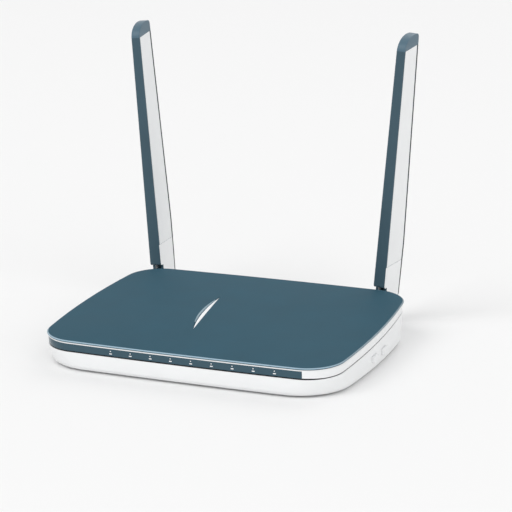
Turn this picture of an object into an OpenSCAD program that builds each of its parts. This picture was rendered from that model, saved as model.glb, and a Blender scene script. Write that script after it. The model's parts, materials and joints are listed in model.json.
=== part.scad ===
// Desktop optical network terminal with two folding blade antennas.
// Millimetres, +Z up, front towards -Y, origin at the middle of the flat underside.

/* [Body] */
// Width of the body across the bowed sides
body_w = 200; // [196:1:206]
// Depth of the body from front to back
body_d = 157; // [154:1:162]
// Radius of the plan's corners at the top
corner_r = 24; // [22:1:26]
// Radius of the plan's corners at the base
base_corner_r = 34; // [30:1:36]
// How far the left and right sides bow outwards
side_bow = 5.6; // [5:0.2:6.4]
// How far the front and back bow outwards
front_bow = 1.8; // [1.6:0.2:2.2]
// Height of the top plate's front edge over the underside
edge_z = 18; // [17.8:0.1:18.6]
// Slope of the top plate down towards the front, in degrees
plate_tilt = 3.1; // [2.9:0.1:3.4]
// Height of the line where the two shells part, at the front
parting_z = 11; // [10.8:0.1:11.2]
// Rise of the top plate from its edge to its middle
crown = 1.8; // [1.4:0.1:2.2]
// Wall thickness of both shells
wall = 2.2; // [2.1:0.1:2.4]

/* [Front and top lights] */
// Right end of the dark window in the front rim
window_right = 77.5; // [70:0.5:78]
// Depth at which the window ends behind the left front corner
window_back = -57; // [-60:1:-50]
// Height of the white rim over the window
window_rim = 0.8; // [0.6:0.1:1]
// Number of indicator lights behind the window
led_count = 9; // [5:1:9]
// Bulge of the recess around the top light slit
slit_bulge = 4.6; // [4:0.1:5.2]
// Bulge of the white lens in the slit
lens_bulge = 2.6; // [2:0.1:3]

/* [Rear ports] */
// Middle of the first network port
lan_x0 = -32; // [-32.5:0.5:-31.5]
// Spacing of the network ports
lan_pitch = 16; // [15.8:0.1:16.2]
// Middle of the telephone port
phone_x = 31.5; // [31:0.5:32]
// Middle of the fibre port
fibre_x = 50; // [49.5:0.5:50.5]
// Middle of the power inlet
inlet_x = -58; // [-58.5:0.5:-57.5]
// Middle of the power button
power_x = -46.5; // [-47:0.5:-46]
// Middle of the reset pinhole
reset_x = 41; // [40.5:0.5:41.5]

/* [Side buttons] */
// Distance of each side button from the middle of the right wall
side_button_y = 9; // [7:0.5:14]
// Length of a side button
side_button_l = 9; // [8:0.5:10]
// Height of a side button
side_button_h = 3.2; // [3:0.1:3.4]

/* [Antennas] */
// Distance between the two fold pins
antenna_span = 162; // [160:0.5:163]
// Middle between the two fold pins
antenna_mid = -8.2; // [-8.6:0.1:-7.8]
// Outward lean of each antenna as it stands, in degrees
antenna_lean = 4.5; // [0:0.5:8]
// Outward turn of each socket in plan, in degrees
antenna_turn = 4.8; // [4:0.1:5.4]
// Height of the blade over its fold pin
blade_h = 174; // [150:1:190]
// Thickness of the blade at its foot
blade_t_foot = 7.8; // [7.6:0.1:8.2]
// Thickness of the blade at its tip
blade_t_tip = 5.5; // [5:0.1:6.4]
// Distance from the fold pin to the blade's front edge
blade_front = 13; // [12.6:0.1:13.4]
// Distance from the fold pin to the blade's rear edge near the foot
blade_rear = 15.6; // [14.5:0.1:16.2]
// Distance from the fold pin to the blade's rear edge at the tip
blade_rear_tip = 9; // [8.5:0.1:11]

/* [Hidden] */
$fn = 64;
half_w = body_w / 2;
half_d = body_d / 2;

// Heights of the layers, at the front
floor_t = 2.0;
gap = 0.3;
groove = 0.7;
base_round = 3.4;
lift_top = parting_z - 1.6;
plate_t = 1.2;
plate_bottom = edge_z - plate_t;
ledge_t = 1.2;
ledge_w = 18;
ledge_z = plate_bottom - ledge_t;
shell_top = parting_z - groove / 2;
frame_bottom = parting_z + groove / 2;
panel_top = ledge_z - 0.2;
window_top = plate_bottom - window_rim;
window_bottom = frame_bottom;
too_high = 60;

// Offsets of the walls from the plan outline
shell_off = -0.9;
shell_in = shell_off - wall;
cavity_round = 1.6;
frame_off = [-1.0, -0.5];
frame_in = frame_off[1] - wall;
lip_t = 0.9;
lip_h = 1.6;
lip_clear_off = -1.9;
window_in = -1.8;
window_sink = 0.15;
window_gap = 0.1;
seal_off = [-1.35, shell_in + lip_t + 0.05];
seal_gap = 0.05;
seal_back = 58;

// Circles of the bowed sides
side_r = (half_d * half_d + side_bow * side_bow) / (2 * side_bow);
front_r = (half_w * half_w + front_bow * front_bow) / (2 * front_bow);
side_c = [half_w - side_r, 0];
back_c = [0, half_d - front_r];
between = side_c - back_c;
between_l = norm(between);
unit = between / between_l;
side_steps = 8;
corner_steps = 12;

// Top plate: offset and depth of each step of its rim, and the rings of its dome as shares of the plan
plate_rim = [[-0.7, 1.18], [-0.1, 0.7], [0, 0.5], [-0.8, 0]];
dome_rings = [0.96, 0.9, 0.82, 0.72, 0.6, 0.46, 0.3, 0.14];

// Top light slit, from its front end to its back end
slit_front = [-8.2, -36.6];
slit_back = [-17.0, 26.7];
slit_depth = 1.4;
slit_step = 0.3;
slit_half = norm(slit_back - slit_front) / 2;
leaf_steps = 24;
lens_margin = 0.2;
lens_below = 0.5;
lens_up = 0.1;

// Rear panel of the lower shell, which carries the sockets
panel_l = -66;
panel_r = 61;

// Fastenings
post_x = 82;
post_y = 60;
post_r = 3.2;
post_low = floor_t + 0.1;
post_short = 0.6;
case_bore_r = 1.2;
case_bore_h = 11;
case_clear_r = 1.7;
case_head_r = 2.8;
case_head_h = 1.1;
case_head_z = 0.1;
case_shank_h = 8;
cross_l = 3.2;
cross_w = 0.6;
cross_d = 0.6;
foot_x = 68;
foot_y = 48;
foot_r = 6;
foot_drop = 1;
foot_seat = 0.6;
foot_bevel = 0.5;
foot_fit = 0.1;
keyhole_x = 50;
keyhole_y = 6;
keyhole_head_r = 4;
keyhole_slot_r = 2.1;
keyhole_run = 8;
vent_rows = [-34, -10];
vent_side = 5;
vent_pitch = 6;
vent_w = 2;
vent_l = 20;
through_floor = 5;

// Circuit board
board_z = 4.6;
board_t = 1.6;
board_top = board_z + board_t;
board_half_w = 77;
board_front = -64;
board_back = 68;
board_back_side = 58;
board_corner = [12, 8];
board_hole_x = 62;
board_hole_y = [-52, 44];
board_hole_r = 1.3;
board_pilot_r = 0.9;
board_pillar_r = 2.8;
board_screw_r = 2.3;
board_screw_h = 1.4;

// Pieces on the board: place and size
chip_at = [-8, 4];
chip_size = [19, 19, 1.4];
sink_at = [-13, -1];
sink_size = [29, 29, 1.4];
fin_count = 8;
fin_t = 1;
fin_h = 4.6;
memory_at = [[24, 6], [-32, 6]];
memory_size = [[10, 14, 1.1], [12, 18, 1.1]];
shield_x = [-66, 30];
shield_y = -40;
shield_size = [34, 30, 2.6];
shield_t = 0.4;
shield_holes = [4, 3];
magnetics_at = [lan_x0 - 4, 36];
magnetics_size = [24, 10, 5.4];
can_at = [[-70, 30], [-70, 40], [-58, 34], [71, 0], [71, -12]];
can_r = 3.1;
can_h = 6.4;
can_foot = [3.4, 0.8];
inductor_at = [[-52, 22], [-44, 34]];
inductor_size = [7, 7, 3.6];
led_pitch = 13.2;
led_mid = 8;
led_size = [1.6, 1.2, 0.8];
slit_led_at = [-14, -6];
slit_led_size = [2.8, 3, 1];
guide_t = 1.6;
guide_rise = 2.25;
guide_bar_y = -half_d + 6;
guide_finger_y = -half_d + 3.6;
guide_finger = [2.4, 8];
guide_end = 3;

// Ports
lan_count = 4;
port_bottom = floor_t + gap;
port_h = 11.6;
port_d = 17;
port_face = half_d - 1.6;
port_gap = 0.2;
wall_reach = 8;
lan_w = 15.2;
phone_w = 13;
plug_z = port_bottom + 3.4;
plug_h = 6.9;
plug_d = 13;
lan_plug_w = 11.8;
phone_plug_w = 9.8;
latch_z = port_bottom + 1.8;
latch_w = 6.2;
latch_tip_z = port_bottom + 0.8;
latch_tip_w = 3.4;
latch_h = 2;
contact_pitch = 1.02;
contact_z = port_bottom + 10.2;
contact_size = [0.36, 6.5, 0.35];
contact_slope = 18;
fibre_w = 12.5;
fibre_h = 10;
fibre_d = 14;
fibre_z = 8.6;
fibre_mouth = [9.2, 7.6];
fibre_key = [3.4, 4.4];
ferrule_r = 1.25;
ferrule_bore_r = 2.0;
barrel_r = 2.2;
barrel_l = 8;
laser_size = [10, 7, 6.4];
inlet_r = 4.4;
inlet_bore_r = 3.1;
inlet_d = 10;
inlet_pin_r = 1.0;
inlet_z = 8;
inlet_block = [9, 9.5, 6.2];
inlet_sleeve = 6;
inlet_front = port_face - 4.5;
power_w = 7;
power_z = 8;
power_proud = 3.2;
power_stem = 3.2;
power_block = [8, 10, 7];
power_front = port_face - 6;
power_stem_low = 0.7;
power_well_gap = 0.4;
power_well = power_stem + 2 * power_well_gap;
power_well_d = 6;
power_cap_d = 3;
power_stem_d = 9;
reset_z = 7.6;
reset_r = 1.0;
reset_size = [4, 4, 3];
reset_set = 6;
reset_reach = 1;
reset_sunk = 0.6;
side_button_z = 7.6;
side_button_travel = 0.8;
side_button_proud = 0.9;
side_button_in = half_w - 5.4;
flange_t = 1.2;
flange_over = 1;
flange_lap = 0.2;
stem_end = 2 * flange_lap - flange_t;
button_stem = [4.2, 2, 1.2];
button_switch = [4.2, 6, 3];

// Antenna joint, with its lengths along the socket from the fold pin
pivot_y = 95;
pivot_z = parting_z + rise(half_d) - 1;
socket_r = 4.8;
socket_in = -25;
socket_out = -13.5;
socket_cut_in = -28.5;
socket_cut_out = -7;
stem_r = 2.6;
stem_in = -27.6;
stem_fit = 0.05;
stem_head_r = 3.4;
stem_head_gap = 0.3;
collar_in = -13.2;
collar_out = -10;
tongue_t = 3.6;
tongue_r = 6.5;
tongue_neck_h = 8;
slot_w = 4.2;
heel_r = 8.5;
pin_r = 1.5;
pin_fit = 0.05;
pin_short = 0.1;
shoulder_z = 7.6;
shoulder_r = 2;
waist_z = 34;
foot_taper = 1;
heel_taper = 1.6;
heel_top = -1.5;
heel_corner = [11.5, -5];
heel_bottom = [5.5, -6];
tip_d = 16.6;
tip_h = 9.8;
tip_steps = 12;
tip_rear_r = 3;
cap_front = 9.9;
cap_rear = 6.4;
panel_t = 1.2;
panel_sink = 0.1;
panel_fit = 0.05;
border = 1.3;
panel_foot = 22;
radiator_z = [30, 140];
radiator_t = 1;
over = 20;

WHITE = [0.94, 0.95, 0.95];
SLATE = [0.26, 0.37, 0.42];
SLATE_DARK = [0.20, 0.30, 0.35];
BOARD = [0.10, 0.36, 0.22];
BLACK = [0.10, 0.10, 0.11];
STEEL = [0.72, 0.73, 0.75];
GOLD = [0.83, 0.66, 0.27];

// Shapes that repeat

// How far the plate's plane has risen at depth y
function rise(y) = tan(plate_tilt) * (y + half_d);

// Share of that rise, and of the change of corner radius, at height z: none below the base's
// rounding, all of it near the parting line
function lift(z) = max(0, min(1, (z - base_round) / (lift_top - base_round)));

// Arcs of the plan with corners of radius r, anticlockwise: centre, radius, first angle, sweep, steps
function plan(r) =
    let (
        reach_back = front_r - r,
        reach_side = side_r - r,
        along = (reach_back * reach_back - reach_side * reach_side + between_l * between_l) / (2 * between_l),
        across = sqrt(reach_back * reach_back - along * along),
        c = back_c + along * unit + across * [unit.y, -unit.x],
        back_end = atan2(c.y - back_c.y, c.x - back_c.x),
        side_end = atan2(c.y - side_c.y, c.x - side_c.x),
        turn = back_end - side_end
    ) [
        [side_c, side_r, -side_end, 2 * side_end, side_steps],
        [c, r, side_end, turn, corner_steps],
        [back_c, front_r, back_end, 180 - 2 * back_end, side_steps],
        [[-c.x, c.y], r, 180 - back_end, turn, corner_steps],
        [-side_c, side_r, 180 - side_end, 2 * side_end, side_steps],
        [-c, r, 180 + side_end, turn, corner_steps],
        [-back_c, front_r, 180 + back_end, 180 - 2 * back_end, side_steps],
        [[c.x, -c.y], r, -back_end, turn, corner_steps]
    ];

// Point of the plan on one arc, moved outwards by off
function on_arc(arc, angle, off) = arc[0] + (arc[1] + off) * [cos(angle), sin(angle)];

// Points of the whole plan outline with corners of radius r, moved outwards by off
function outline(off, r) = [
    for (arc = plan(r)) for (i = [0 : arc[4] - 1]) on_arc(arc, arc[2] + arc[3] * i / arc[4], off)
];

// Point of the flat plan at height z, raised with the slope of the plate
function sloped(p, z) = [p.x, p.y, z + lift(z) * rise(p.y)];

// Outline at one height, for a stack
function level(off, z) = [
    for (p = outline(off, base_corner_r + lift(z) * (corner_r - base_corner_r))) sloped(p, z)
];

// Solid skinned with triangles over outlines at rising heights
module stack(rings) {
    count = len(rings[0]);
    last = (len(rings) - 1) * count;
    sides = [
        for (k = [0 : len(rings) - 2]) for (i = [0 : count - 1])
            let (j = (i + 1) % count, low = k * count, high = low + count)
                each [[low + i, high + i, low + j], [low + j, high + i, high + j]]
    ];
    bottom = [for (i = [0 : count - 1]) i];
    top = [for (i = [count - 1 : -1 : 0]) last + i];
    polyhedron([for (ring = rings) each ring], concat(sides, [bottom, top]));
}

// Solid from a list of [offset, height] steps up the wall
module wall_stack(steps) {
    stack([for (p = steps) level(p[0], p[1])]);
}

// Slab of the plan between two heights
module slab(off, z0, z1) {
    wall_stack([[off, z0], [off, z1]]);
}

// Steps of a rounded lower edge of radius r, from height z up to a wall at offset off
function rounded_foot(off, z, r, angles) = [for (a = angles) [off - r * (1 - sin(a)), z + r * (1 - cos(a))]];

// Part of its child that lies between two places across the body, at the front (-1) or the back (1)
module between_x(x0, x1, side) {
    intersection() {
        children();
        translate([x0, side < 0 ? -body_d : 0, 0]) cube([x1 - x0, body_d, too_high]);
    }
}

// Places its child on the line of the slit, square to the plate, at a height over the plate's edge
module at_slit(z) {
    run = slit_back - slit_front;
    mid = (slit_front + slit_back) / 2;
    translate([mid.x, mid.y, edge_z + rise(mid.y)])
        rotate([plate_tilt, 0, 0])
            translate([0, 0, z]) rotate([0, 0, atan2(run.y, run.x)]) children();
}

// Radius of an arc over a chord of this half length
function arc_r(half, bulge) = (half * half + bulge * bulge) / (2 * bulge);

// Leaf between a straight chord and an arc that bulges to its left, drawn in by margin
module leaf(bulge, margin, z0, z1) {
    half = slit_half - 4 * margin;
    r = arc_r(half, bulge);
    at_slit(z0) intersection() {
        translate([0, margin + bulge - r, 0]) cylinder(r = r, h = z1 - z0, $fn = 360);
        translate([-half - 1, margin, 0]) cube([2 * half + 2, bulge + 1, z1 - z0]);
    }
}

// Points of such a leaf at height z, from its back end round the arc to its front end
function leaf_ring(bulge, z) =
    let (r = arc_r(slit_half, bulge), a = asin(slit_half / r)) [
        for (i = [0 : leaf_steps])
            let (t = a - 2 * a * i / leaf_steps) [r * sin(t), bulge - r + r * cos(t), z]
    ];

// Recess around the lens, whose arc slopes outwards from its floor
module slit_recess() {
    h = slit_depth + crown;
    low = lens_bulge + slit_step;
    flare = (slit_bulge - low) / slit_depth;
    at_slit(crown - slit_depth) stack([leaf_ring(low, 0), leaf_ring(low + flare * h, h)]);
}

module at_corners(x, y) {
    for (sx = [-1, 1]) for (sy = [-1, 1])
        translate([sx * x, sy * y, 0]) children();
}

module at_board_holes() {
    for (sx = [-1, 1]) for (y = board_hole_y)
        translate([sx * board_hole_x, y, 0]) children();
}

// Upright cylinder from height z0 to z1
module pillar(r, z0, z1) {
    translate([0, 0, z0]) cylinder(r = r, h = z1 - z0);
}

// Round bar along Y from y0 to y1
module bar_y(r, y0, y1) {
    translate([0, y0, 0]) rotate([-90, 0, 0]) cylinder(r = r, h = y1 - y0);
}

// Block centred on x, from height z0, between two depths
module rear_block(x, w, z0, h, y0, y1) {
    translate([x - w / 2, y0, z0]) cube([w, y1 - y0, h]);
}

// Block that stands on the circuit board
module on_board(at, size) {
    translate([at.x, at.y, board_top]) cube(size);
}

// Housing

module lower_shell() {
    outer = concat(
        rounded_foot(0, 0, base_round, [0, 22.5, 45, 67.5, 90]),
        [[shell_off, lift_top], [shell_off, shell_top]]
    );
    cavity = concat(
        rounded_foot(-wall, floor_t, cavity_round, [0, 45, 90]),
        [[shell_in, lift_top], [shell_in, edge_z]]
    );
    color(WHITE) difference() {
        union() {
            difference() {
                union() {
                    wall_stack(outer);
                    slab(shell_in + lip_t, shell_top - 1, shell_top + lip_h);
                    between_x(panel_l, panel_r, 1) slab(shell_off - 0.1, shell_top - 1, panel_top);
                }
                wall_stack(cavity);
            }
            at_board_holes() pillar(board_pillar_r, floor_t - 0.5, board_z);
        }
        at_corners(post_x, post_y) {
            pillar(case_clear_r, -1, case_bore_h);
            pillar(case_head_r + gap, -1, case_head_z + case_head_h);
            pillar(post_r + gap, floor_t, case_bore_h);
        }
        at_corners(foot_x, foot_y) pillar(foot_r, -1, foot_seat);
        at_board_holes() pillar(board_pilot_r, floor_t + 0.4, board_top);
        for (sx = [-1, 1]) translate([sx * keyhole_x, keyhole_y, -1]) {
            cylinder(r = keyhole_head_r, h = through_floor);
            translate([-keyhole_slot_r, 0, 0]) cube([2 * keyhole_slot_r, keyhole_run, through_floor]);
            translate([0, keyhole_run, 0]) cylinder(r = keyhole_slot_r, h = through_floor);
        }
        floor_vents();
        port_cuts();
        side_button_cuts();
        socket_cuts();
    }
}

module floor_vents() {
    for (row = vent_rows) for (i = [-vent_side : vent_side])
        translate([i * vent_pitch - vent_w / 2, row, -1]) cube([vent_w, vent_l, through_floor]);
}

// Opening through the rear wall for a body of this width, height and place
module wall_opening(x, w, z0, h, fit) {
    rear_block(x, w + 2 * fit, z0 - fit, h + 2 * fit, half_d - wall_reach, half_d + wall_reach);
}

module port_cuts() {
    for (i = [0 : lan_count - 1]) wall_opening(lan_x0 + i * lan_pitch, lan_w, port_bottom, port_h, port_gap);
    wall_opening(phone_x, phone_w, port_bottom, port_h, port_gap);
    wall_opening(fibre_x, fibre_w, fibre_z - fibre_h / 2, fibre_h, port_gap);
    wall_opening(power_x, power_w, power_z - power_w / 2, power_w, gap);
    translate([inlet_x, 0, inlet_z]) bar_y(inlet_r + port_gap, half_d - wall_reach, half_d + wall_reach);
    translate([reset_x, 0, reset_z]) bar_y(reset_r + gap, half_d - wall_reach, half_d + wall_reach);
}

module side_button_cuts() {
    for (sy = [-1, 1])
        translate([half_w - wall_reach, sy * side_button_y - side_button_l / 2 - gap,
            side_button_z - side_button_h / 2 - gap])
            cube([2 * wall_reach, side_button_l + 2 * gap, side_button_h + 2 * gap]);
}

module socket_cuts() {
    for (side = [-1, 1]) at_socket(side) bar_y(socket_r, socket_cut_in, socket_cut_out);
}

module upper_frame() {
    lip_room = frame_bottom + lip_h;
    color(WHITE) difference() {
        union() {
            difference() {
                wall_stack([[frame_off[0], frame_bottom], [frame_off[1], plate_bottom]]);
                wall_stack([
                    [lip_clear_off, frame_bottom - 1], [lip_clear_off, lip_room],
                    [frame_in, lip_room + lip_t], [frame_in, ledge_z]
                ]);
                slab(-ledge_w, ledge_z - 1, edge_z);
            }
            for (sx = [-1, 1]) for (sy = [-1, 1]) translate([sx * post_x, sy * post_y, 0])
                pillar(post_r, post_low, plate_bottom + rise(sy * post_y) - post_short);
        }
        at_corners(post_x, post_y) pillar(case_bore_r, 0, case_bore_h);
        between_x(panel_l - gap, panel_r + gap, 1) slab(wall, frame_bottom - 1.5, panel_top + 0.1);
        window_zone(window_gap) difference() {
            slab(wall, window_bottom - window_gap, window_top + window_gap);
            slab(frame_in - window_gap, window_bottom - 1, window_top + 1);
        }
        socket_cuts();
    }
}

// Rubber strip in the groove between the shells, round the front and the sides
module dust_seal() {
    color(BLACK) difference() {
        slab(seal_off[0], shell_top + seal_gap, frame_bottom - seal_gap);
        slab(seal_off[1], shell_top - 1, frame_bottom + 1);
        translate([-body_w, seal_back, 0]) cube([2 * body_w, body_d, too_high]);
    }
}

// Part of its child along the front and round the left front corner, grown by fit
module window_zone(fit) {
    intersection() {
        children();
        translate([-body_w, -body_d, 0])
            cube([body_w + window_right + fit, body_d + window_back + fit, too_high]);
    }
}

module top_plate() {
    edge = [for (p = plate_rim) level(p[0], edge_z - p[1])];
    dome = [for (s = dome_rings)
        [for (p = outline(0, corner_r)) sloped(s * p, edge_z + crown * (1 - s * s))]];
    color(SLATE) difference() {
        stack(concat(edge, dome));
        slit_recess();
        leaf(lens_bulge, lens_margin, -2 * plate_t, 2 * crown);
    }
}

module status_lens() {
    color([0.97, 0.98, 1]) leaf(lens_bulge, lens_margin, -plate_t + lens_up, crown - lens_below);
}

// Offset of the upper frame's outer face at height z
function frame_face(z) =
    frame_off[0] + (frame_off[1] - frame_off[0]) * (z - frame_bottom) / (plate_bottom - frame_bottom);

module front_window() {
    color(SLATE_DARK) window_zone(0) difference() {
        wall_stack([for (z = [window_bottom, window_top]) [frame_face(z) - window_sink, z]]);
        slab(window_in, window_bottom - 1, window_top + 1);
    }
}

function led_x(i) = led_mid + (i - (led_count - 1) / 2) * led_pitch;

// Bar behind the front window, with a finger to it from each light
module light_guide() {
    z = window_bottom + guide_rise;
    bar_l = led_x(led_count - 1) - led_x(0) + 2 * guide_end;
    color([0.9, 0.95, 1, 0.6]) {
        translate([led_x(0) - guide_end, guide_bar_y, z]) cube([bar_l, guide_t, guide_t]);
        for (i = [0 : led_count - 1])
            translate([led_x(i) - guide_finger.x / 2, guide_finger_y, z])
                cube([guide_finger.x, guide_finger.y, guide_t]);
    }
}

module rubber_feet() {
    color(BLACK) at_corners(foot_x, foot_y) {
        pillar(foot_r - foot_fit, -foot_drop + foot_bevel, foot_seat);
        translate([0, 0, -foot_drop])
            cylinder(r1 = foot_r - foot_fit - foot_bevel, r2 = foot_r - foot_fit, h = foot_bevel);
    }
}

module case_screws() {
    neck = case_head_z + case_head_h;
    color(STEEL) at_corners(post_x, post_y) difference() {
        union() {
            pillar(case_head_r, case_head_z, neck);
            pillar(case_bore_r, neck - 0.1, neck + case_shank_h);
        }
        for (a = [0, 90]) rotate(a)
            translate([-cross_l / 2, -cross_w / 2, case_head_z - gap])
                cube([cross_l, cross_w, cross_d + gap]);
    }
}

// Electronics

module circuit_board() {
    lan_l = lan_x0 - lan_w / 2 - gap;
    color(BOARD) difference() {
        translate([0, 0, board_z]) linear_extrude(board_t) polygon([
            [-board_half_w, board_front + board_corner.y], [-board_half_w + board_corner.x, board_front],
            [board_half_w - board_corner.x, board_front], [board_half_w, board_front + board_corner.y],
            [board_half_w, board_back_side], [panel_r - 2, board_back_side], [panel_r - 2, board_back],
            [panel_l + 2, board_back], [panel_l + 2, board_back_side], [-board_half_w, board_back_side]
        ]);
        at_board_holes() pillar(board_hole_r, 0, too_high);
        translate([lan_l, port_face - port_d - gap, 0])
            cube([(lan_count - 1) * lan_pitch + lan_w + 2 * gap, body_d, too_high]);
        rear_block(phone_x, phone_w + 2 * gap, 0, too_high, port_face - port_d - gap, body_d);
        rear_block(fibre_x, fibre_w + 2 * gap, 0, too_high, port_face - fibre_d - gap, body_d);
    }
}

module board_screws() {
    color(STEEL) at_board_holes() {
        pillar(board_screw_r, board_top, board_top + board_screw_h);
        pillar(board_pilot_r, floor_t + 0.8, board_top + 0.5);
    }
}

module main_chip() {
    color(BLACK) on_board(chip_at, chip_size);
}

module heatsink() {
    fin_pitch = (sink_size.x - fin_t) / (fin_count - 1);
    color([0.62, 0.64, 0.66]) translate([sink_at.x, sink_at.y, board_top + chip_size.z]) {
        cube(sink_size);
        for (i = [0 : fin_count - 1])
            translate([i * fin_pitch, 0, sink_size.z]) cube([fin_t, sink_size.y, fin_h]);
    }
}

module memory_chips() {
    color(BLACK) for (i = [0, 1]) on_board(memory_at[i], memory_size[i]);
}

// Tinned cans over the radios, open underneath, with rows of holes
module radio_shield() {
    hole_pitch = [shield_size.x / (shield_holes[0] + 1), shield_size.y / (shield_holes[1] + 1)];
    color(STEEL) for (x = shield_x) translate([x, shield_y, board_top]) difference() {
        cube(shield_size);
        translate([shield_t, shield_t, -shield_t])
            cube([shield_size.x - 2 * shield_t, shield_size.y - 2 * shield_t, shield_size.z]);
        for (i = [1 : shield_holes[0]]) for (j = [1 : shield_holes[1]])
            translate([i * hole_pitch.x, j * hole_pitch.y, 0]) cylinder(r = 1, h = 2 * shield_size.z);
    }
}

module magnetics() {
    color(BLACK) for (i = [0, 1]) on_board(magnetics_at + [i * 2 * lan_pitch, 0], magnetics_size);
}

module capacitors() {
    color([0.16, 0.17, 0.20]) for (p = can_at) translate([p.x, p.y, board_top]) {
        cylinder(r = can_r, h = can_h);
        cylinder(r = can_foot[0], h = can_foot[1]);
    }
}

module inductors() {
    color([0.35, 0.34, 0.33]) for (p = inductor_at)
        on_board(p - [inductor_size.x, inductor_size.y] / 2, inductor_size);
}

module status_leds() {
    color([0.7, 1, 0.75]) {
        for (i = [0 : led_count - 1]) on_board([led_x(i) - led_size.x / 2, board_front + 1], led_size);
        on_board(slit_led_at, slit_led_size);
    }
}

// Ports

module fibre_module() {
    back = port_face - fibre_d;
    color(STEEL) translate([fibre_x, 0, fibre_z]) {
        bar_y(barrel_r, back - barrel_l, back - port_gap);
        bar_y(ferrule_r, back - port_gap, port_face - fibre_d / 2);
        translate([-laser_size.x / 2, back - barrel_l - laser_size.y, -barrel_r]) cube(laser_size);
    }
}

module fibre_adapter() {
    back = port_face - fibre_d;
    mouth_z = fibre_z - fibre_mouth[1] / 2;
    color([0.10, 0.35, 0.60]) difference() {
        rear_block(fibre_x, fibre_w, fibre_z - fibre_h / 2, fibre_h, back, port_face + 1);
        rear_block(fibre_x, fibre_mouth[0], mouth_z, fibre_mouth[1], back + 2, half_d + 5);
        rear_block(fibre_x, fibre_key[0], fibre_z, fibre_key[1], back + 2, half_d + 5);
        translate([fibre_x, 0, fibre_z]) bar_y(ferrule_bore_r, back - 1, back + 3);
    }
}

// Cavity of a jack, running in from its face
module jack_cut(x, w, z0, h) {
    rear_block(x, w, z0, h, port_face - plug_d, port_face + 1);
}

// Network jack with its plug cavity and the stepped latch channel
module lan_port(i) {
    x = lan_x0 + i * lan_pitch;
    color(BLACK) difference() {
        rear_block(x, lan_w, port_bottom, port_h, port_face - port_d, port_face);
        jack_cut(x, lan_plug_w, plug_z, plug_h);
        jack_cut(x, latch_w, latch_z, latch_h);
        jack_cut(x, latch_tip_w, latch_tip_z, latch_h);
    }
}

module sprung_contacts(x, count) {
    for (i = [0 : count - 1])
        translate([x + (i - (count - 1) / 2) * contact_pitch, port_face - plug_d + 0.4, contact_z])
            rotate([-contact_slope, 0, 0])
                translate([-contact_size.x / 2, 0, -contact_size.z]) cube(contact_size);
}

module lan_contacts() {
    color(GOLD) for (i = [0 : lan_count - 1]) sprung_contacts(lan_x0 + i * lan_pitch, 8);
}

module phone_port() {
    color([0.75, 0.76, 0.76]) difference() {
        rear_block(phone_x, phone_w, port_bottom, port_h, port_face - port_d, port_face);
        jack_cut(phone_x, phone_plug_w, plug_z, plug_h);
        jack_cut(phone_x, latch_w, latch_z, latch_h);
    }
}

module phone_contacts() {
    color(GOLD) sprung_contacts(phone_x, 4);
}

module power_jack() {
    color(BLACK) difference() {
        union() {
            translate([inlet_x, 0, inlet_z]) bar_y(inlet_r, port_face - inlet_sleeve, port_face);
            rear_block(inlet_x, inlet_block.x, board_top, inlet_block.z,
                inlet_front - inlet_block.y, inlet_front);
        }
        translate([inlet_x, 0, inlet_z]) bar_y(inlet_bore_r, port_face - inlet_d, port_face + 1);
    }
}

module power_jack_pin() {
    color(STEEL) translate([inlet_x, 0, inlet_z]) bar_y(inlet_pin_r, port_face - inlet_d, port_face - 1);
}

module power_switch() {
    color(BLACK) difference() {
        rear_block(power_x, power_block.x, board_top, power_block.z,
            power_front - power_block.y, power_front);
        rear_block(power_x, power_well, power_z - power_stem_low - power_well_gap, power_well,
            power_front - power_well_d, port_face);
    }
}

module power_button() {
    color(WHITE) {
        rear_block(power_x, power_w, power_z - power_w / 2, power_w,
            port_face - power_cap_d, half_d + power_proud);
        rear_block(power_x, power_stem, power_z - power_stem_low, power_stem,
            port_face - power_stem_d, port_face - power_cap_d);
    }
}

// Button cap on the right wall, with its retaining flange and stem
module side_button(y) {
    translate([side_button_in, y, side_button_z]) {
        translate([0, -side_button_l / 2, -side_button_h / 2])
            cube([half_w + side_button_proud - side_button_in, side_button_l, side_button_h]);
        translate([flange_lap - flange_t, -side_button_l / 2 - flange_over, flange_lap - side_button_h / 2])
            cube([flange_t, side_button_l + 2 * flange_over, side_button_h - 2 * flange_lap]);
        translate([stem_end - button_stem.x, -button_stem.y / 2, gap]) cube(button_stem);
    }
}

module wps_button() {
    color(WHITE) side_button(-side_button_y);
}

module wifi_button() {
    color(WHITE) side_button(side_button_y);
}

module button_switches() {
    x = side_button_in + stem_end - button_stem.x - side_button_travel - port_gap - button_switch.x;
    color(BLACK) for (sy = [-1, 1]) on_board([x, sy * side_button_y - button_switch.y / 2], button_switch);
}

module reset_switch() {
    color(BLACK) on_board([reset_x - reset_size.x / 2, board_back - reset_set], reset_size);
}

module reset_button() {
    color([0.8, 0.8, 0.8]) translate([reset_x, 0, reset_z])
        bar_y(reset_r, board_back - reset_reach, port_face - reset_sunk);
}

// Antennas: each blade stands on a knuckle that swivels in a socket near the parting line.
// side is -1 for the left one and 1 for the right one

module at_socket(side) {
    translate([antenna_mid + side * antenna_span / 2, pivot_y, pivot_z])
        rotate([0, 0, -side * antenna_turn]) children();
}

module at_pivot(side) {
    at_socket(side) rotate([0, side * antenna_lean, 0]) children();
}

module socket(side) {
    color(SLATE_DARK) at_socket(side) difference() {
        bar_y(socket_r, socket_in, socket_out);
        bar_y(stem_r + stem_fit, socket_in - 1, socket_out + 1);
    }
}

// Round bar across the blade, centred on the fold pin
module bar_x(r, l) {
    translate([-l / 2, 0, 0]) rotate([0, 90, 0]) cylinder(r = r, h = l);
}

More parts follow.
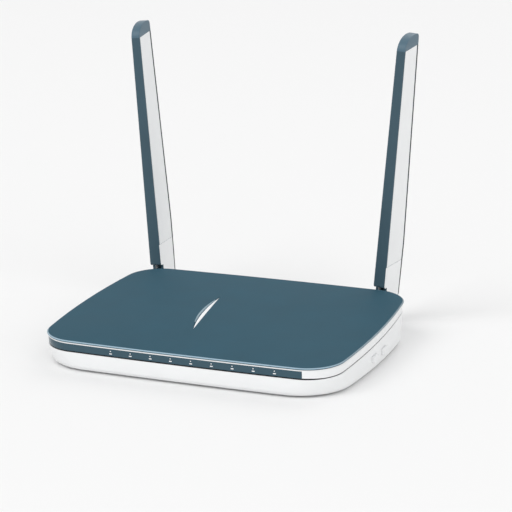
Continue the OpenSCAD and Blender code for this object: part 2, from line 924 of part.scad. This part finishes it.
module knuckle(side) {
    color(SLATE_DARK) at_pivot(side) difference() {
        union() {
            bar_y(stem_r, stem_in, collar_in + 0.5);
            bar_y(stem_head_r, stem_in, socket_in - stem_head_gap);
            bar_y(socket_r, collar_in, collar_out);
            bar_x(tongue_r, tongue_t);
            translate([-tongue_t / 2, collar_out - 0.5, -tongue_neck_h / 2])
                cube([tongue_t, 0.5 - collar_out, tongue_neck_h]);
        }
        bar_x(pin_r + pin_fit, over);
    }
}

module fold_pin(side) {
    color(STEEL) at_pivot(side) bar_x(pin_r, blade_t_foot - 2 * pin_short);
}

// Side view drawn in depth and height, stood up and thickened across
module across_blade(t) {
    rotate([90, 0, 90]) translate([0, 0, -t / 2]) linear_extrude(t) children();
}

// Points of the blade's front tip, an elliptic round from the front edge up to the top
function tip_points(front, top, inset) = [
    for (i = [0 : tip_steps])
        let (a = 90 * i / tip_steps)
            [front + (tip_d - inset) * (1 - cos(a)), top - (tip_h - inset) * (1 - sin(a))]
];

// Blade seen from the side, shrunk by inset: rounded tip, straight front, tapering rear
module blade_block(inset, t) {
    top = blade_h - inset;
    front = -blade_front + inset;
    rear_tip = blade_rear_tip - inset;
    rear_foot = blade_rear - inset;
    rear_r = tip_rear_r - inset;
    across_blade(t) translate([rear_tip - rear_r, top - rear_r]) circle(r = rear_r);
    across_blade(t) translate([front + shoulder_r, shoulder_z + shoulder_r]) circle(r = shoulder_r);
    across_blade(t) polygon(concat(
        [[front, shoulder_z + shoulder_r]],
        tip_points(front, top, inset),
        [
            [rear_tip - rear_r, top], [rear_tip - rear_r, top - rear_r], [rear_tip, top - rear_r],
            [rear_foot, waist_z], [rear_foot - foot_taper, shoulder_z], [front + shoulder_r, shoulder_z]
        ]
    ));
}

// Half thickness of the tapering blade at height z
function half_t(z) = (blade_t_foot + (blade_t_tip - blade_t_foot) * z / blade_h) / 2;

// Prism along the depth over a front view
module along_depth() {
    rotate([90, 0, 0]) translate([0, 0, -2 * over]) linear_extrude(4 * over) children();
}

// Slab between two depths under the blade's tapering face, on one side
module face_slab(sign, depth0, depth1) {
    z0 = -heel_r - 1;
    z1 = blade_h + 1;
    along_depth() polygon([
        [sign * (half_t(z0) - depth0), z0], [sign * (half_t(z1) - depth0), z1],
        [sign * (half_t(z1) - depth1), z1], [sign * (half_t(z0) - depth1), z0]
    ]);
}

// Opening through the wide faces that takes the side panels, under the solid cap of the blade
module panel_window(inset, t) {
    intersection() {
        blade_block(border + inset, t);
        across_blade(t) polygon([
            [-blade_front, panel_foot + inset], [-blade_front, blade_h - cap_front - inset],
            [blade_rear, blade_h - cap_rear - inset], [blade_rear, panel_foot + inset]
        ]);
    }
}

module blade(side) {
    z0 = -heel_r - 1;
    z1 = blade_h + 1;
    color(SLATE) at_pivot(side) difference() {
        intersection() {
            union() {
                blade_block(0, over);
                across_blade(over) circle(r = heel_r);
                across_blade(over) polygon([
                    [-heel_r, 0], [-heel_r, shoulder_z + 1], [blade_rear - foot_taper - 0.2, shoulder_z + 1],
                    [blade_rear - heel_taper, heel_top], heel_corner, heel_bottom
                ]);
            }
            along_depth() polygon([
                [-half_t(z0), z0], [half_t(z0), z0], [half_t(z1), z1], [-half_t(z1), z1]
            ]);
        }
        panel_window(0, over);
        translate([-slot_w / 2, -over, -over]) cube([slot_w, 2 * over, over + shoulder_z - 0.5]);
        bar_x(pin_r, over);
    }
}

module side_panel(side, sign) {
    color(WHITE) at_pivot(side) intersection() {
        panel_window(panel_fit, over);
        face_slab(sign, panel_sink, panel_t);
    }
}

module radiator(side) {
    color(BOARD) at_pivot(side) intersection() {
        panel_window(1, radiator_t);
        translate([-over / 2, -over, radiator_z[0]]) cube([over, 2 * over, radiator_z[1] - radiator_z[0]]);
    }
}

lower_shell();
upper_frame();
dust_seal();
top_plate();
status_lens();
front_window();
light_guide();
rubber_feet();
case_screws();
circuit_board();
board_screws();
main_chip();
heatsink();
memory_chips();
radio_shield();
magnetics();
capacitors();
inductors();
status_leds();
fibre_module();
fibre_adapter();
lan_port(0);  // lan_port_1
lan_port(1);  // lan_port_2
lan_port(2);  // lan_port_3
lan_port(3);  // lan_port_4
lan_contacts();
phone_port();
phone_contacts();
power_jack();
power_jack_pin();
power_switch();
power_button();
wps_button();
wifi_button();
button_switches();
reset_switch();
reset_button();
socket(-1);  // left_socket
knuckle(-1);  // left_knuckle
fold_pin(-1);  // left_fold_pin
blade(-1);  // left_blade
side_panel(-1, -1);  // left_outer_panel
side_panel(-1, 1);  // left_inner_panel
radiator(-1);  // left_radiator
socket(1);  // right_socket
knuckle(1);  // right_knuckle
fold_pin(1);  // right_fold_pin
blade(1);  // right_blade
side_panel(1, 1);  // right_outer_panel
side_panel(1, -1);  // right_inner_panel
radiator(1);  // right_radiator
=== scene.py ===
import json
import math
import bpy
from mathutils import Matrix, Vector


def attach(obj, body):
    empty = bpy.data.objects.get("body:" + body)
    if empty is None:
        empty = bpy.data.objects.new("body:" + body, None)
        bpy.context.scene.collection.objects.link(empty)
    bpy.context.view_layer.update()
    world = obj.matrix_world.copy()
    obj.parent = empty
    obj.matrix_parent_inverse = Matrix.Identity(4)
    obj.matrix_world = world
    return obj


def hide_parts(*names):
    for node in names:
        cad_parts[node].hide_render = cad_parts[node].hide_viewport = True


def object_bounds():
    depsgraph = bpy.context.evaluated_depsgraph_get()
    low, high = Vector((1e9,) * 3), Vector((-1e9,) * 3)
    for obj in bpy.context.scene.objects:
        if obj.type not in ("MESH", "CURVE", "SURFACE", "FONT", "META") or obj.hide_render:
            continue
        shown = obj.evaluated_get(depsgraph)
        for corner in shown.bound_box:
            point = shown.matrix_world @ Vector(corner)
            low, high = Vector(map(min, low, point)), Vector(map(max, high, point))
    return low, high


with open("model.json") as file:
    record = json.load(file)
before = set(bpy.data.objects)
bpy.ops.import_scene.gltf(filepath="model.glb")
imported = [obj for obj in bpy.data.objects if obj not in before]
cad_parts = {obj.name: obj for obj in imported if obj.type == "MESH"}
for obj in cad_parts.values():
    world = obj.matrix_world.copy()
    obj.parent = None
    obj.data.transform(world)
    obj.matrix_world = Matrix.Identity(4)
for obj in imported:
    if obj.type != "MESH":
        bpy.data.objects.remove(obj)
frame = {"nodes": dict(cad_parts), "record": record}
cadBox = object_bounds()
frontY = cadBox[0].y                     # the body's front
nodes = frame["nodes"]
record = frame["record"]
bodyOf = {node: body for body, names in record["behaviour"]["bodies"].items() for node in names}
slotOf = {row["node"]: row["material_slot"] for row in record["subparts"]}
jointOf = {row["name"]: row for row in record["behaviour"]["joints"]}
mm = 0.001
print("frame loaded:", len(nodes), "nodes")


# camera, at the place the photo was taken from

cameraPlace = {
    "turn": math.radians(21.866),        # round to the right of the front
    "tilt": math.radians(13.953),        # above level
    "distance": 1.2527,
    "target": Vector((-0.0306, 0.12222, 0.0290)),
    "lens": 126.5625, "sensor": 36,      # mm
    "reach": 20,
}
turn, tilt = cameraPlace["turn"], cameraPlace["tilt"]
toCamera = Vector((math.sin(turn) * math.cos(tilt), -math.cos(turn) * math.cos(tilt), math.sin(tilt)))
stand = Matrix.Translation(cameraPlace["target"] + cameraPlace["distance"] * toCamera)
aim = Matrix.Rotation(turn, 4, "Z") @ Matrix.Rotation(math.pi / 2 - tilt, 4, "X")
bpy.ops.object.select_all(action="DESELECT")
bpy.ops.object.camera_add()
camera = bpy.context.object
camera.data.sensor_width = cameraPlace["sensor"]
camera.data.lens = cameraPlace["lens"]
camera.data.clip_end = cameraPlace["reach"]
camera.matrix_world = stand @ aim
bpy.context.scene.camera = camera
print("camera set")


# finishes

leastRoughness = 0.04


def newMaterial(name):
    material = bpy.data.materials.new(name)
    material.use_nodes = True
    return material, material.node_tree.nodes, material.node_tree.links


# noise in the piece's own coordinates, scaled along each axis where asked
def noiseOn(tree, links, scale, detail, stretch=None):
    place = tree.new("ShaderNodeTexCoord").outputs["Object"]
    noise = tree.new("ShaderNodeTexNoise")
    noise.inputs["Scale"].default_value = scale
    noise.inputs["Detail"].default_value = detail
    if stretch:
        mapping = tree.new("ShaderNodeMapping")
        mapping.inputs["Scale"].default_value = stretch
        links.new(place, mapping.inputs["Vector"])
        place = mapping.outputs["Vector"]
    links.new(place, noise.inputs["Vector"])
    return noise


# two tones of one colour, a little apart
def tintRamp(tree, links, noise, colour, mottle):
    tone = tree.new("ShaderNodeValToRGB")
    dark, light = tone.color_ramp.elements
    dark.position, light.position = 0.3, 0.7
    dark.color = [c * (1 - mottle) for c in colour] + [1]
    light.color = [min(c * (1 + mottle), 1) for c in colour] + [1]
    links.new(noise.outputs["Fac"], tone.inputs["Fac"])
    return tone


def spreadRoughness(tree, links, noise, shader, low, high):
    spread = tree.new("ShaderNodeMapRange")
    spread.inputs["To Min"].default_value = max(low, leastRoughness)
    spread.inputs["To Max"].default_value = min(high, 1)
    links.new(noise.outputs["Fac"], spread.inputs["Value"])
    links.new(spread.outputs["Result"], shader.inputs["Roughness"])


def raiseBump(tree, links, noise, shader, strength, depth):
    bump = tree.new("ShaderNodeBump")
    bump.inputs["Strength"].default_value = strength
    bump.inputs["Distance"].default_value = depth
    links.new(noise.outputs["Fac"], bump.inputs["Height"])
    links.new(bump.outputs["Normal"], shader.inputs["Normal"])


# moulded or painted plastic: mottled colour, fine spark-eroded skin, roughness that varies a little
def mouldedFinish(name, colour, roughness, skin=0.35, skinScale=2600, mottle=0.06, gloss=0.5):
    material, tree, links = newMaterial(name)
    shader = tree["Principled BSDF"]
    shader.inputs["Specular IOR Level"].default_value = gloss
    cloud = noiseOn(tree, links, scale=42, detail=5)
    tone = tintRamp(tree, links, cloud, colour, mottle)
    links.new(tone.outputs["Color"], shader.inputs["Base Color"])
    spreadRoughness(tree, links, cloud, shader, low=roughness - 0.05, high=roughness + 0.06)
    pits = noiseOn(tree, links, scale=skinScale, detail=2)
    raiseBump(tree, links, pits, shader, strength=skin, depth=0.04 * mm)
    return material


# drawn or plated metal: streaks along one axis
def metalFinish(name, colour, roughness, streak=(1, 40, 40)):
    material, tree, links = newMaterial(name)
    shader = tree["Principled BSDF"]
    shader.inputs["Metallic"].default_value = 1
    lines = noiseOn(tree, links, scale=120, detail=4, stretch=streak)
    tone = tintRamp(tree, links, lines, colour, mottle=0.07)
    links.new(tone.outputs["Color"], shader.inputs["Base Color"])
    spreadRoughness(tree, links, lines, shader, low=roughness - 0.08, high=roughness + 0.1)
    raiseBump(tree, links, lines, shader, strength=0.2, depth=0.02 * mm)
    return material


# painted highlight on the plate's edge chamfer: bright to the front, duller as it runs back round the
# corners, standing in for the light the edge catches
def rimHighlightFinish(name, ahead, behind, fadeFrom, fadeTo, roughness):
    material, tree, links = newMaterial(name)
    shader = tree["Principled BSDF"]
    place = tree.new("ShaderNodeTexCoord")
    split = tree.new("ShaderNodeSeparateXYZ")
    fade = tree.new("ShaderNodeMapRange")
    fade.inputs["From Min"].default_value = fadeFrom
    fade.inputs["From Max"].default_value = fadeTo
    tone = tree.new("ShaderNodeValToRGB")
    tone.color_ramp.elements[0].color = list(ahead) + [1]
    tone.color_ramp.elements[1].color = list(behind) + [1]
    links.new(place.outputs["Object"], split.inputs["Vector"])
    links.new(split.outputs["Y"], fade.inputs["Value"])
    links.new(fade.outputs["Result"], tone.inputs["Fac"])
    links.new(tone.outputs["Color"], shader.inputs["Base Color"])
    grain = noiseOn(tree, links, scale=900, detail=2)
    spreadRoughness(tree, links, grain, shader, low=roughness - 0.06, high=roughness + 0.06)
    raiseBump(tree, links, grain, shader, strength=0.08, depth=0.02 * mm)
    return material


slate = (0.035, 0.091, 0.127)
white = (0.82, 0.83, 0.835)
finishes = {
    "shell_white": mouldedFinish("whiteShell", white, 0.42, skin=0.3, mottle=0.012),
    "plate_slate": mouldedFinish("slatePlate", slate, 0.6, skin=0.3, mottle=0.05, gloss=0.05),
    "window_slate": mouldedFinish("darkWindow", (0.034, 0.078, 0.106), 0.2, skin=0.05, mottle=0.03,
                                  gloss=0.35),
    "lens_white": mouldedFinish("whiteLens", (0.87, 0.88, 0.89), 0.3, skin=0.05, mottle=0.01),
    "clear_guide": mouldedFinish("clearGuide", (0.72, 0.78, 0.80), 0.12, skin=0.05, mottle=0.02),
    # painted light: the knuckle's slate is lighter than the blades' slate, to offset the shade the knuckle
    # sits in
    "knuckle_slate": mouldedFinish("litSlateKnuckle", (0.075, 0.140, 0.180), 0.45, mottle=0.05),
    "foot_rubber": mouldedFinish("footRubber", (0.010, 0.011, 0.012), 0.85, skin=0.6, mottle=0.12,
                                 gloss=0.2),
    "screw_steel": metalFinish("screwSteel", (0.56, 0.57, 0.58), 0.32),
    "board_green": mouldedFinish("boardGreen", (0.02, 0.12, 0.055), 0.38, skin=0.3, skinScale=700,
                                 mottle=0.18),
    "chip_black": mouldedFinish("chipBlack", (0.020, 0.020, 0.022), 0.55, skin=0.5, mottle=0.1),
    "sink_alu": metalFinish("sinkAluminium", (0.66, 0.67, 0.69), 0.36),
    "shield_tin": metalFinish("shieldTin", (0.62, 0.63, 0.64), 0.3),
    "can_dark": mouldedFinish("canSleeve", (0.05, 0.055, 0.07), 0.35, skin=0.1, mottle=0.08),
    "led_lens": mouldedFinish("ledResin", (0.72, 0.85, 0.74), 0.2, skin=0.05, mottle=0.03),
    "port_black": mouldedFinish("portBlack", (0.021, 0.021, 0.022), 0.42, mottle=0.1),
    "port_grey": mouldedFinish("portGrey", (0.42, 0.43, 0.44), 0.45, mottle=0.04),
    "fibre_blue": mouldedFinish("fibreBlue", (0.015, 0.085, 0.28), 0.40, skin=0.3),
    "contact_gold": metalFinish("contactGold", (0.80, 0.58, 0.22), 0.25, streak=(40, 1, 40)),
}


def paint(piece, *coats):
    piece.data.materials.clear()
    for coat in coats:
        piece.data.materials.append(coat)


for nodeName, node in nodes.items():
    paint(node, finishes[slotOf[nodeName]])
print("finishes made:", len(finishes))


# moulded pieces: a merged copy of the solid with its edges broken, as a mould leaves them

mouldLook = {
    "weld": 0.01 * mm,
    "flat": math.radians(0.02),          # faces closer than this in direction become one
    "corner": math.radians(38),          # edges sharper than this are broken
    "edgeSteps": 3,
    "smooth": math.radians(32),
    "edges": {                           # radii in mm
        "lower_shell": 0.25, "status_lens": 0.15, "power_button": 0.5, "wps_button": 0.5, "wifi_button": 0.5,
        "fibre_adapter": 0.3, "phone_port": 0.25, "power_jack": 0.3, "power_jack_pin": 0.25,
        "rubber_feet": 0.3, "case_screws": 0.15, "reset_button": 0.2,
        "lan_port_1": 0.25, "lan_port_2": 0.25, "lan_port_3": 0.25, "lan_port_4": 0.25,
        "left_knuckle": 0.4, "left_socket": 0.3, "left_fold_pin": 0.2,
        "right_knuckle": 0.4, "right_socket": 0.3, "right_fold_pin": 0.2,
    },
}


def mergedCopy(nodeName):
    bpy.ops.object.select_all(action="DESELECT")
    piece = bpy.data.objects.new(nodeName + ".moulded", nodes[nodeName].data.copy())
    bpy.context.scene.collection.objects.link(piece)
    bpy.context.view_layer.objects.active = piece
    piece.select_set(True)
    bpy.ops.object.mode_set(mode="EDIT")
    bpy.ops.mesh.select_all(action="SELECT")
    bpy.ops.mesh.customdata_custom_splitnormals_clear()
    bpy.ops.mesh.remove_doubles(threshold=mouldLook["weld"])
    bpy.ops.mesh.dissolve_limited(angle_limit=mouldLook["flat"])
    bpy.ops.object.mode_set(mode="OBJECT")
    return piece


# cuts the active piece's faces along a plane, so that each side can have a coat of its own
def splitFaces(place, normal):
    bpy.ops.object.mode_set(mode="EDIT")
    bpy.ops.mesh.select_all(action="SELECT")
    bpy.ops.mesh.bisect(plane_co=place, plane_no=normal)
    bpy.ops.object.mode_set(mode="OBJECT")


def breakEdges(piece, radius):
    bevel = piece.modifiers.new("edges", "BEVEL")
    bevel.width = radius * mm
    bevel.segments = mouldLook["edgeSteps"]
    bevel.limit_method = "ANGLE"
    bevel.angle_limit = mouldLook["corner"]
    bpy.ops.object.modifier_apply(modifier="edges")


# shades and paints a copy and puts it on its body, in place of the solid
def settle(piece, nodeName, smooth=mouldLook["smooth"]):
    bpy.ops.object.shade_smooth_by_angle(angle=smooth)
    paint(piece, finishes[slotOf[nodeName]])
    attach(piece, bodyOf[nodeName])
    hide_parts(nodeName)


# gives each face the coat that the function names for it
def coatFaces(piece, coats, coatOf):
    paint(piece, *coats.values())
    order = list(coats)
    for face in piece.data.polygons:
        face.material_index = order.index(coatOf(face))


for nodeName, radius in mouldLook["edges"].items():
    piece = mergedCopy(nodeName)
    breakEdges(piece, radius)
    settle(piece, nodeName)
print("moulded copies made:", len(mouldLook["edges"]))


# upper frame and front window, with painted shade: their lowest band over the parting groove coated black

grooveShadeLook = {                              # edge radius in mm, top of the band coated black as painted shade
    "upper_frame": (0.2, 11.85 * mm),
    "front_window": (0.15, 11.6 * mm),
}
for nodeName, (radius, shadeTop) in grooveShadeLook.items():
    piece = mergedCopy(nodeName)
    splitFaces((0, 0, shadeTop), (0, 0, 1))
    breakEdges(piece, radius)
    settle(piece, nodeName)
    # painted shade: faces under the cut take the black rubber finish, darkening the line of the parting
    # groove
    coats = {"wall": finishes[slotOf[nodeName]], "grooveShade": finishes["foot_rubber"]}
    coatFaces(piece, coats, lambda face: "grooveShade" if face.center.z < shadeTop else "wall")
print("upper frame and front window made")


# top plate: crowned and smooth, with painted highlights on the edge chamfer and on one slope of the slit

plateLook = {
    "smooth": math.radians(20),
    "frontEdge": 18 * mm,                # height of the plate's edge at the front
    "slope": math.radians(3.1),
    "tilted": (0.4, 0.97),               # how far the faces of the edge chamfer and of the slope turn up
    "slitReach": (30 * mm, 45 * mm),     # half size of the area around the slit
    "slitMiddle": 1.05 * mm,             # height over the edge at which the slope turns from painted highlight to the plate's own colour
    "slitLine": (Vector((-8.2, -36.6)) * mm, Vector((-17.0, 26.7)) * mm),
    "slitHighlightSpan": (0.2, 0.97),            # part of the slit's length whose slope gets a painted highlight
    "coats": {
        "plate": finishes["plate_slate"],
        # painted highlight: the chamfer faces coloured light at the front, darker towards the back
        "rimHighlight": rimHighlightFinish("rimHighlight", (0.30, 0.43, 0.52), (0.11, 0.18, 0.22), -74 * mm, -50 * mm, 0.3),
        # painted highlight: the slit's slope made a lighter slate where it faces the light
        "slitSlopeHighlight": mouldedFinish("slitSlopeHighlight", (0.20, 0.31, 0.37), 0.35, skin=0.1, mottle=0.04),
    },
}
upFromPlate = Vector((0, -math.sin(plateLook["slope"]), math.cos(plateLook["slope"])))


# height over the sloping level of the plate's edge
def overEdge(place):
    return place.z - plateLook["frontEdge"] - math.tan(plateLook["slope"]) * (place.y - frontY)


# 0 at the slit's front end, 1 at its rear end
def alongSlit(place):
    front, rear = plateLook["slitLine"]
    return (place.xy - front).dot(rear - front) / (rear - front).length_squared


def plateCoat(face):
    low, high = plateLook["tilted"]
    if not low < face.normal.dot(upFromPlate) < high:
        return "plate"
    reachX, reachY = plateLook["slitReach"]
    if abs(face.center.x) >= reachX or abs(face.center.y) >= reachY:
        # upward-turned faces away from the slit get the painted highlight of the edge chamfer
        return "rimHighlight"
    # the upper slope along most of the slit gets the painted highlight
    start, end = plateLook["slitHighlightSpan"]
    isHighlit = start < alongSlit(face.center) < end and overEdge(face.center) > plateLook["slitMiddle"]
    return "slitSlopeHighlight" if isHighlit else "plate"


piece = mergedCopy("top_plate")
splitFaces((0, 0, plateLook["slitMiddle"] - overEdge(Vector((0, 0, 0)))), upFromPlate)
settle(piece, "top_plate", plateLook["smooth"])
coatFaces(piece, plateLook["coats"], plateCoat)
print("top plate made")


# antenna blades: slate bands with a painted highlight on the tip, white cheeks and side panels, and a
# near-black line along the rear edge

bladeLook = {
    "edge": 0.7, "panelEdge": 0.3,       # radii in mm
    "wide": 0.97,                        # faces that turn further than this to the side are the wide ones
    "lines": {                           # two points each, behind the fold pin and over it
        "foot": ((0, 22 * mm), (10 * mm, 22 * mm)),
        "cap": ((-13 * mm, 164.2 * mm), (15.6 * mm, 167.7 * mm)),
        "rearLine": ((13.8 * mm, 34 * mm), (7.2 * mm, 171 * mm)),
        "heel": ((13.8 * mm, 34 * mm), (12.8 * mm, 7.6 * mm)),
    },
    "coats": {
        "band": mouldedFinish("slateBand", (0.042, 0.084, 0.111), 0.45, skin=0.3, mottle=0.05, gloss=0.3),
        "cheek": finishes["shell_white"],
        # painted highlight: the tip is the band's slate made lighter where it faces up to the light
        "cap": mouldedFinish("slateCapHighlight", (0.064, 0.124, 0.168), 0.4, skin=0.25, mottle=0.05, gloss=0.4),
        # near-black, laid along the blade's rear edge and heel
        "rearLine": mouldedFinish("rearDarkLine", (0.008, 0.017, 0.024), 0.55, skin=0.3, mottle=0.08, gloss=0.2),
    },
}


# planes through the lines, square to the blade's wide faces, with normals up or back
def bladePlanes(side):
    fold, swivel = jointOf[side + "_antenna_fold"], jointOf[side + "_antenna_swivel"]
    pin, across, along = Vector(fold["pos_m"]), Vector(fold["axis"]), Vector(swivel["axis"])
    upBlade = across.cross(along)
    back = along if along.y > 0 else -along
    planes = {}
    for name, points in bladeLook["lines"].items():
        start, end = (pin + behind * back + over * upBlade for behind, over in points)
        normal = (end - start).cross(across).normalized()
        planes[name] = (start, normal if normal.dot(upBlade + 2 * back) > 0 else -normal)
    return across, planes


def isPast(face, plane):
    place, normal = plane
    return (face.center - place).dot(normal) > 0


# faces behind the rear line or the heel line, which are coloured near-black
def isOnRearLine(face, planes):
    return isPast(face, planes["rearLine"]) or isPast(face, planes["heel"])


def bladeCoat(face, across, planes):
    # faces over the tip line take the painted highlight
    if isPast(face, planes["cap"]):
        return "cap"
    if abs(face.normal.dot(across)) <= bladeLook["wide"]:
        return "band"
    if isOnRearLine(face, planes):
        return "rearLine"
    return "band" if isPast(face, planes["foot"]) else "cheek"


for side in ("left", "right"):
    across, planes = bladePlanes(side)
    piece = mergedCopy(side + "_blade")
    for plane in planes.values():
        splitFaces(*plane)
    breakEdges(piece, bladeLook["edge"])
    settle(piece, side + "_blade")
    coatFaces(piece, bladeLook["coats"], lambda face: bladeCoat(face, across, planes))
    for panel in (side + "_outer_panel", side + "_inner_panel"):
        piece = mergedCopy(panel)
        splitFaces(*planes["rearLine"])
        splitFaces(*planes["heel"])
        breakEdges(piece, bladeLook["panelEdge"])
        settle(piece, panel)
        coats = {"panel": finishes[slotOf[panel]], "rearLine": bladeLook["coats"]["rearLine"]}
        coatFaces(piece, coats, lambda face: "rearLine" if isOnRearLine(face, planes) else "panel")
print("antenna blades made")


# indicator lights set in the front window: a dash and a dot each

lightLook = {
    "count": 9, "pitch": 13.2 * mm, "middle": 8 * mm,
    "dash": (1.8 * mm, 0.5 * mm, 0.6 * mm), "dashHeight": 13.0 * mm,
    "dot": (0.6 * mm, 0.5 * mm, 0.6 * mm), "dotHeight": 14.6 * mm,
    "frontRadius": 2778.7 * mm,          # of the body's bowed front
    "behindFront": 1.08 * mm,            # the window's face at the base height
    "baseHeight": 12 * mm,
    "rake": 0.17,                        # how much nearer to the front the face comes with height
    "proud": 0.05 * mm,
    "edge": 0.24, "edgeSteps": 3,        # edge radius as a part of the smaller side
    "smooth": math.radians(40),
}


def indicator(x, height, size):
    width, depth, rise = size
    radius = lightLook["frontRadius"]
    offset = lightLook["behindFront"] - lightLook["rake"] * (height - lightLook["baseHeight"])
    y = frontY + radius - math.sqrt(radius * radius - x * x) + offset + depth / 2 - lightLook["proud"]
    bpy.ops.mesh.primitive_cube_add(size=1, location=(x, y, height), rotation=(0, 0, math.asin(x / radius)))
    mark = bpy.context.object
    mark.scale = size
    bpy.ops.object.transform_apply(location=True, rotation=True, scale=True)
    bpy.ops.object.mode_set(mode="EDIT")
    bpy.ops.mesh.select_all(action="SELECT")
    edge = lightLook["edge"] * min(width, rise)
    bpy.ops.mesh.bevel(offset=edge, segments=lightLook["edgeSteps"], affect="EDGES")
    bpy.ops.object.mode_set(mode="OBJECT")
    return mark


bpy.ops.object.select_all(action="DESELECT")
marks = []
for i in range(lightLook["count"]):
    x = lightLook["middle"] + (i - (lightLook["count"] - 1) / 2) * lightLook["pitch"]
    marks.append(indicator(x, lightLook["dashHeight"], lightLook["dash"]))
    marks.append(indicator(x, lightLook["dotHeight"], lightLook["dot"]))
bpy.ops.object.select_all(action="DESELECT")
for mark in marks:
    mark.select_set(True)
bpy.context.view_layer.objects.active = marks[0]
bpy.ops.object.join()
lights = bpy.context.object
lights.name = "indicatorLights"
bpy.ops.object.shade_smooth_by_angle(angle=lightLook["smooth"])
paint(lights, finishes["lens_white"])
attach(lights, "housing")
print("indicator lights made")


# plain pale floor and soft studio light

studio = {
    "floorSize": 60, "floorDrop": 0.1 * mm,
    "floorTone": 0.88, "floorRoughness": 0.9, "floorGloss": 0.1,
    "worldStrength": 0.70, "backdrop": 1.0,
    "lamps": {                           # place, size and watts
        "keyLamp": ((-6.3, -10.8, 11.7), 10.8, 970),
        "fillLamp": ((11.7, -8.1, 8.1), 12.6, 640),
        "backLamp": ((0.9, 13.5, 11.7), 10.8, 400),
    },
}


def paleFinish(name, tone):
    material, tree, links = newMaterial(name)
    shader = tree["Principled BSDF"]
    shader.inputs["Base Color"].default_value = (tone, tone, tone, 1)
    shader.inputs["Roughness"].default_value = studio["floorRoughness"]
    shader.inputs["Specular IOR Level"].default_value = studio["floorGloss"]
    return material


# white where it is seen, directly or in a reflection, and a plain level where it lights
def lightWorld():
    world = bpy.data.worlds.new("studioWorld")
    world.use_nodes = True
    bpy.context.scene.world = world
    tree, links = world.node_tree.nodes, world.node_tree.links
    tree["Background"].inputs["Color"].default_value = (1, 1, 1, 1)
    path = tree.new("ShaderNodeLightPath")
    seen = path.outputs["Is Camera Ray"]
    for ray in ("Is Glossy Ray", "Is Transmission Ray"):
        either = tree.new("ShaderNodeMath")
        either.operation = "MAXIMUM"
        links.new(seen, either.inputs[0])
        links.new(path.outputs[ray], either.inputs[1])
        seen = either.outputs["Value"]
    level = tree.new("ShaderNodeMapRange")
    level.inputs["To Min"].default_value = studio["worldStrength"]
    level.inputs["To Max"].default_value = studio["backdrop"]
    links.new(seen, level.inputs["Value"])
    links.new(level.outputs["Result"], tree["Background"].inputs["Strength"])


def softLamp(name, place, size, watts):
    bpy.ops.object.light_add(type="AREA", location=place)
    lamp = bpy.context.object
    lamp.name = name
    lamp.data.size = size
    lamp.data.energy = watts
    lamp.rotation_euler = (-Vector(place)).to_track_quat("-Z", "Y").to_euler()


bpy.ops.object.select_all(action="DESELECT")
floorHeight = cadBox[0].z - studio["floorDrop"]
bpy.ops.mesh.primitive_plane_add(size=studio["floorSize"], location=(0, 0, floorHeight))
floor = bpy.context.object
floor.name = "floor"
paint(floor, paleFinish("paleFloor", studio["floorTone"]))
lightWorld()
for name, (place, size, watts) in studio["lamps"].items():
    softLamp(name, place, size, watts)
print("studio lit")

bpy.context.scene.view_settings.view_transform = "Standard"
